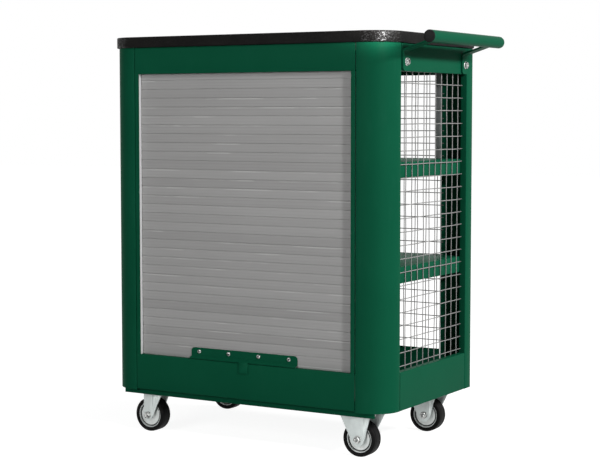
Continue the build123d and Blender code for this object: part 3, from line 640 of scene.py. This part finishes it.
# ---------------------------------------------------------------- push handle
def push_handle():
    """Tube with a domed rear end, and the cap in its open front end."""
    low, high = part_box("push_handle")
    centre, radius = (low + high) / 2, (high.z - low.z) / 2
    wall, easing, steps = 1.5 * MM, 0.3 * MM, 64
    length = high.y - low.y
    angles = [math.radians(d) for d in range(0, 91, 9)]
    dome = [(radius * math.cos(a), length - radius + radius * math.sin(a)) for a in angles]
    dome[-1] = (0, length)
    inner = [(0, length - wall), (radius - wall, length - radius), (radius - wall, 0)]
    outer = [(radius - easing, 0), (radius, easing)] + dome
    bm = lathe(bmesh.new(), inner + outer, (centre.x, low.y, centre.z), TO_THE_BACK, steps)
    piece("push_handle_tube", bm, GREEN, "cabinet", "push_handle")
    low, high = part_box("push_handle_cap")
    rim, easing = 3 * MM, 0.2 * MM
    depth = high.y - low.y
    crown = [(r * MM, h * MM) for r, h in ((5, 0.12), (9, 0.6), (11.2, 1.3), (12.4, 2.1))]
    profile = [(0, 0)] + crown + [(radius, rim - easing), (radius - easing, rim),
                                  (radius - wall, rim), (radius - wall, depth), (0, depth)]
    bm = lathe(bmesh.new(), profile, (centre.x, low.y, centre.z), TO_THE_BACK, steps)
    piece("push_handle_plug", bm, CAP, "cabinet", "push_handle_cap")


push_handle()


# Bolts and nuts.  SHANK is a radius; a flanged head has flats and a dish of its own.
FLATS, HEAD_HEIGHT, HEAD_DISH, NUT_HEIGHT, SHANK = 13 * MM, 5.3 * MM, 0.5 * MM, 6.5 * MM, 4 * MM
CORNER_PER_FLAT = 1 / math.cos(math.pi / 6)


def hexagon(bm, flats, place, axis, height, dish=0.0):
    """Adds a chamfered hexagon head or nut that stands on place."""
    corner = flats / 2 * CORNER_PER_FLAT
    easing = 0.8 * MM
    profile = [(0, 0), (corner, 0), (corner, height - easing), (corner * 0.9, height),
               (flats * 0.34, height), (flats * 0.27, height - dish), (0, height - dish)]
    return lathe(bm, profile, place, axis, 6)


def flanged_bolt(bm, place, axis):
    """Adds a hexagon head on a coned flange."""
    flange = [(r * MM, h * MM) for r, h in ((0, 0), (8, 0), (8, 0.7), (6.8, 1.6), (0, 1.8))]
    lathe(bm, flange, place, axis)
    return hexagon(bm, 12.6 * MM, place, axis, HEAD_HEIGHT, 2.4 * MM)


def bolt_end(bm, place, axis, length, tip, taper):
    """Adds the end of a bolt, which narrows to tip over its last taper."""
    profile = [(0, 0), (SHANK, 0), (SHANK, length - taper), (tip, length), (0, length)]
    return lathe(bm, profile, place, axis, 24)


def handle_bolts():
    """Flanged bolts through the brackets, with nuts inside the cabinet."""
    low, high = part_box("handle_bolts")
    reach = 8 * MM                  # flange's radius
    y, z = low.y + reach, (low.z + high.z) / 2
    outside, inside = high.x - HEAD_HEIGHT, MIDDLE + SIDE - SHEET
    outwards, inwards = (1, 0, 0), (-1, 0, 0)
    bm = flanged_bolt(bmesh.new(), (outside, y, z), outwards)
    hexagon(bm, FLATS, (inside, y, z), inwards, NUT_HEIGHT)
    bolt_end(bm, (inside, y, z), inwards, 9.7 * MM, 3.3 * MM, 0.7 * MM)
    bm = row(bm, 2, (0, high.y - low.y - 2 * reach, 0), BOLT)
    return piece("handle_bolt_heads", bm, BOLT, "cabinet", "handle_bolts")


handle_bolts()


# ---------------------------------------------------------------- casters
AXLE_HEIGHT = 37.5 * MM
PLATE_TOP = 97 * MM
FORK_SHEET = 2.5 * MM
LEG_OUTSIDE = 20 * MM               # middle of the wheel to a leg's outer face
TRAIL = 28 * MM                     # kingpin to axle of a swivel caster
# Cabinet's middle to the rigid casters and to the kingpins, and front row to rear row
RIGID_ACROSS, SWIVEL_ACROSS, ROW_APART = 264 * MM, 238 * MM, 308 * MM


def mirrored(half, middle=False):
    """A (radius, height) profile in metres from its front half in millimetres."""
    back = reversed(half[:-1] if middle else half)
    return [(r * MM, h * MM) for r, h in half] + [(r * MM, -h * MM) for r, h in back]


def wheel(name, body, x, y):
    """Pressed disc with a deep ring groove inside its rolled rim."""
    half = [(4.1, 17), (8.4, 17), (9.3, 16.3), (9.6, 15), (9.8, 12.6), (10.6, 11.6), (12, 11.2),
            (15, 11), (19, 11.1), (22.4, 11.2), (23.5, 10.8), (24.1, 9.8), (24.4, 8), (24.5, 3.5),
            (25, 3), (26, 3), (26.3, 3.5), (26.4, 9), (26.6, 12), (27.2, 12.9), (28.2, 12.9),
            (29, 12.2)]
    bm = lathe(bmesh.new(), mirrored(half), (x, y, AXLE_HEIGHT), TO_THE_BACK, 72)
    disc = piece(name.replace("wheel", "wheel_disc"), bm, DISC, body, name)
    # Radii of the ring groove, where shade is painted.
    groove = 24.0 * MM, 26.35 * MM
    return paint_shade(disc, x, AXLE_HEIGHT, *groove)


def tyre(name, body, x, y):
    """Rounded solid tyre with two fine moulded grooves round its tread."""
    half = [(29, 12.1), (29.2, 14.2), (30, 14.9), (32, 15), (34.6, 14.9), (36.1, 14.3),
            (36.9, 13.2), (37.3, 11.6), (37.4, 9.4), (37.4, 8.9), (36.7, 8.4), (36.7, 7.6),
            (37.42, 7.1), (37.48, 4), (37.5, 0)]
    bm = lathe(bmesh.new(), mirrored(half, True), (x, y, AXLE_HEIGHT), TO_THE_BACK, 96)
    return piece(name.replace("tyre", "tyre_tread"), bm, RUBBER, body, name, sharp=50)


def axle(name, body, x, y):
    """Axle bolt with its nut in front and its head behind, a washer under each."""
    bm = bmesh.new()
    front = (x, y - LEG_OUTSIDE, AXLE_HEIGHT)
    rear = (x, y + LEG_OUTSIDE, AXLE_HEIGHT)
    forward, width = (0, -1, 0), 2 * LEG_OUTSIDE
    washer = [(r * MM, h * MM) for r, h in ((0, 0), (7.9, 0), (7.9, 0.9), (7.5, 1.2), (0, 1.2))]
    lathe(bm, washer, front, forward)
    lathe(bm, washer, rear, TO_THE_BACK)
    hexagon(bm, FLATS, front, forward, NUT_HEIGHT)
    hexagon(bm, FLATS, rear, TO_THE_BACK, HEAD_HEIGHT, HEAD_DISH)
    bolt_end(bm, front, forward, 8 * MM, 3.4 * MM, 0.6 * MM)
    lathe(bm, [(0, 0), (SHANK, 0), (SHANK, width), (0, width)], front, TO_THE_BACK, 24)
    return piece(name + "_nut_and_bolt", bm, BOLT, body, name)


def leg(side, axle_x, foot, ends, top, crease):
    """One fork leg: tapered to a round foot, its flank pressed inwards past the crease."""
    angles = [math.radians(a) for a in range(0, 360, 10)]
    points = [(axle_x + foot * math.cos(a), AXLE_HEIGHT + foot * math.sin(a)) for a in angles]
    points += [(end, top) for end in ends]
    outline = [points[i] for i in geometry.convex_hull_2d(points)]
    upright = Matrix(((1, 0, 0, 0), (0, 0, 1, 0), (0, 1, 0, 0), (0, 0, 0, 1)))
    place = Matrix.Translation((0, LEG_OUTSIDE - FORK_SHEET, 0)) @ upright
    bm = bar(bmesh.new(), outline, place, FORK_SHEET)
    for x in crease:
        bmesh.ops.bisect_plane(bm, geom=bm.verts[:] + bm.edges[:] + bm.faces[:],
                               plane_co=(axle_x + x, 0, 0), plane_no=(1, 0, 0))
    pressed, flank = 2 * MM, crease[1]
    for vertex in bm.verts:
        if (vertex.co.x - axle_x - flank) * (1 if flank > 0 else -1) > -MERGE:
            vertex.co.y -= pressed
    bmesh.ops.recalc_face_normals(bm, faces=bm.faces)
    ease(bm, 0.5 * MM, 50, 2)
    if side < 0:
        bmesh.ops.transform(bm, verts=bm.verts, matrix=Matrix.Scale(-1, 4, (0, 1, 0)))
        bmesh.ops.reverse_faces(bm, faces=bm.faces)
    return bm


def caster_plate(bm, x, y):
    """Adds the plate that is bolted to the crossmember."""
    outline = soften([(-46, -35), (46, -35), (46, 35), (-46, 35)], 8, 5)
    plate = bar(bmesh.new(), [(x + u * MM, y + v * MM) for u, v in outline],
                Matrix.Translation((0, 0, PLATE_TOP - FORK_SHEET)), FORK_SHEET)
    bmesh.ops.recalc_face_normals(plate, faces=plate.faces)
    return joined(bm, ease(plate, 0.4 * MM, 50))


def shifted(bm, x, y):
    bmesh.ops.translate(bm, verts=bm.verts, vec=(x, y, 0))
    return bm


def race(points):
    """A race's (radius, height) profile in metres, with eased corners, from millimetres."""
    return soften([(r * MM, z * MM) for r, z in points], 0.6 * MM, 3)


def rigid_fork(name, x, y):
    """Plate with two legs that lean opposite ways."""
    top, foot = PLATE_TOP - FORK_SHEET, 14.5 * MM
    far, near = 46 * MM, 29 * MM                        # a leg's ends at the plate
    start, end = 13.5 * MM, 15.3 * MM                   # crease in a leg
    legs = joined(leg(-1, 0, foot, (-far, near), top, (start, end)),
                  leg(1, 0, foot, (-near, far), top, (-start, -end)))
    bm = caster_plate(shifted(legs, x, y), x, y)
    return piece(name + "_pressing", bm, ZINC, "cabinet", name)


def swivel_plate(name, x, y):
    """Plate with the upper ball race under it."""
    upper = race([(5.1, 89.5), (24.2, 89.5), (25, 90.5), (25, 92.5), (22, 94.5), (5.1, 94.5)])
    bm = lathe(caster_plate(bmesh.new(), x, y), upper, (x, y, 0))
    return piece(name + "_race", bm, ZINC, "cabinet", name)


def kingpin(name, x, y):
    """Rivet that holds the fork under its plate."""
    profile = [(0, 81.1), (4, 81.1), (7.2, 81.5), (8.5, 82.6), (8.5, 83.1), (5, 83.1), (5, 96.8),
               (0, 96.8)]
    bm = lathe(bmesh.new(), [(r * MM, z * MM) for r, z in profile], (x, y, 0))
    return piece(name + "_rivet", bm, ZINC, "cabinet", name)


def swivel_fork(name, body, x, y):
    """Trailing fork with a flat crown and the lower ball race."""
    crown_low, crown_high = 83.4 * MM, 85.9 * MM
    foot, width = 11.5 * MM, 46 * MM
    crease = (11 * MM, 12.8 * MM)
    low = -TRAIL - foot
    legs = joined(*(leg(side, -TRAIL, foot, (low, low + width), crown_high, crease)
                    for side in (-1, 1)))
    left, right, half = low + 2 * MM, low + width - 6 * MM, 17.6 * MM
    shoulder = [(left, -half), (right, -half), (right, half), (left, half)]
    crown = bar(bmesh.new(), soften(shoulder, 4 * MM), Matrix.Translation((0, 0, crown_low)),
                crown_high - crown_low)
    lower = race([(5.1, 83.4), (22, 83.4), (25, 85.2), (25, 88.1), (24.2, 88.9), (5.1, 88.9)])
    bm = lathe(joined(legs, crown), lower)
    return piece(name + "_pressing", shifted(bm, x, y), ZINC, body, name)


def caster_bolts():
    """Bolt heads under the plates and nuts on the crossmembers."""
    low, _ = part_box("caster_bolts")
    bm = bmesh.new()
    x, y = low.x + FLATS / 2 * CORNER_PER_FLAT, low.y + FLATS / 2
    up, down, crossmember = (0, 0, 1), (0, 0, -1), 2 * MM
    hexagon(bm, FLATS, (x, y, PLATE_TOP - FORK_SHEET), down, HEAD_HEIGHT, HEAD_DISH)
    hexagon(bm, FLATS, (x, y, PLATE_TOP + crossmember), up, NUT_HEIGHT)
    bolt_end(bm, (x, y, PLATE_TOP), up, 10 * MM, 3.4 * MM, 0.5 * MM)
    across, along = 74 * MM, 54 * MM                    # between the bolts of one plate
    for step in ((across, 0, 0), (0, along, 0),
                 (RIGID_ACROSS + SWIVEL_ACROSS, 0, 0), (0, ROW_APART, 0)):
        bm = row(bm, 2, step, BOLT)
    return piece("caster_bolt_heads", bm, BOLT, "cabinet", "caster_bolts")


def casters():
    for end, y in (("front", -ROW_APART / 2), ("rear", ROW_APART / 2)):
        x = MIDDLE + RIGID_ACROSS
        rigid_fork("rigid_fork_" + end, x, y)
        axle("rigid_axle_" + end, "cabinet", x, y)
        wheel("rigid_wheel_" + end, end + "_right_wheel", x, y)
        tyre("rigid_tyre_" + end, end + "_right_wheel", x, y)
        x = MIDDLE - SWIVEL_ACROSS
        swivel_plate("swivel_plate_" + end, x, y)
        kingpin("swivel_kingpin_" + end, x, y)
        swivel_fork("swivel_fork_" + end, end + "_swivel", x, y)
        axle("swivel_axle_" + end, end + "_swivel", x - TRAIL, y)
        wheel("swivel_wheel_" + end, end + "_left_wheel", x - TRAIL, y)
        tyre("swivel_tyre_" + end, end + "_left_wheel", x - TRAIL, y)
    caster_bolts()


casters()


# ---------------------------------------------------------------- worktop
def worktop():
    """The moulded board, merged so that its rounded rim shades smoothly."""
    bm = bmesh.new()
    bm.from_mesh(nodes["worktop"].data)
    merged(bm, 0.5)
    return piece("worktop_board", bm, WORKTOP, "cabinet", "worktop")


worktop()


# ---------------------------------------------------------------- light and floor
def hang(data, place, target):
    """Puts a lamp in its place and turns it to the target."""
    lamp = bpy.data.objects.new(data.name, data)
    bpy.context.scene.collection.objects.link(lamp)
    lamp.location = place
    lamp.rotation_euler = (Vector(target) - Vector(place)).to_track_quat("-Z", "Y").to_euler()


def soft_box(name, place, target, size, power):
    """A rectangular lamp; power is in watts."""
    data = bpy.data.lights.new(name, "AREA")
    data.shape = "RECTANGLE"
    data.size, data.size_y = size
    data.energy = power
    hang(data, place, target)


def narrow_spot(name, place, target, cone, power):
    """A soft-edged spot whose cone is a few degrees wide."""
    data = bpy.data.lights.new(name, "SPOT")
    data.spot_size, data.spot_blend = math.radians(cone), 1.0
    data.shadow_soft_size = 30 * MM
    data.energy = power
    hang(data, place, target)


def background_rays(f):
    """1 on the rays that show the background: those seen directly, mirrored or let through."""
    rays = [f.node("ShaderNodeLightPath", {}, {}, name)
            for name in ("Is Camera Ray", "Is Glossy Ray", "Is Transmission Ray")]
    return rays[0].work("MAXIMUM", rays[0].work("MAXIMUM", rays[0], rays[1]), rays[2])


def surroundings():
    """Dim light from all round, before a background that is seen white."""
    world = bpy.data.worlds.new("studio")
    bpy.context.scene.world = world
    f = Finish("studio", world)
    dim = f.node("ShaderNodeBackground", {}, {"Color": (1, 1, 1, 1), "Strength": 0.06})
    white = f.node("ShaderNodeBackground", {}, {"Color": (1, 1, 1, 1), "Strength": 1.0})
    both = f.node("ShaderNodeMixShader", {}, {0: background_rays(f), 1: dim, 2: white})
    f.node("ShaderNodeOutputWorld", {}, {"Surface": both})


def lamps():
    """Two soft boxes on the right, one in front, a weak one above, a spot on a front corner."""
    soft_box("right_box", (2.9, 1.00, 1.85), (0.1, 0, 0.5), (1.2, 0.25), 70)
    soft_box("right_front_box", (2.84, -1.26, 1.72), (0.1, -0.1, 0.5), (0.35, 0.25), 58)
    soft_box("top_box", (0.4, -0.4, 3.2), (0, 0, 0.4), (2.0, 2.0), 4)
    soft_box("front_box", (-0.6, -3.6, 1.5), (0, 0, 0.45), (1.6, 1.2), 44)
    narrow_spot("corner_spot", (2.557, -1.66, 0.99), (0.287, -0.192, 0.905), 3.2, 1660)


def floor():
    """Pale floor that keeps the shadow; its glow is painted a shade darker near the casters, as
    painted shade.
    """
    reach = 14
    corners = ((-reach, -reach), (reach, -reach), (reach, reach), (-reach, reach))
    bm = bmesh.new()
    bm.faces.new([bm.verts.new((x, y, 0)) for x, y in corners])
    ground = temporary(bm)
    ground.name = "floor"
    f = Finish("white_floor")
    matte = f.node("ShaderNodeBsdfDiffuse", {}, {"Color": (0.4, 0.4, 0.4, 1)})
    away = f.node("ShaderNodeVectorMath", {"operation": "LENGTH"}, {0: f.place}, "Value")
    # Painted shade: the floor's glow is dimmer within about a metre of the cabinet, brighter far
    # off.
    pale = f.blend(away.over(0.5, 1.4), (0.92, 0.92, 0.92), (1.02, 1.02, 1.02))
    glow = f.node("ShaderNodeEmission", {}, {"Color": pale, "Strength": 1.0})
    bright = f.node("ShaderNodeAddShader", {}, {0: matte, 1: glow})
    mixed = f.node("ShaderNodeMixShader", {}, {0: background_rays(f), 1: matte, 2: bright})
    f.node("ShaderNodeOutputMaterial", {}, {"Surface": mixed})
    paint(ground, f.material)


surroundings()
lamps()
floor()
bpy.context.scene.view_settings.view_transform = "Standard"
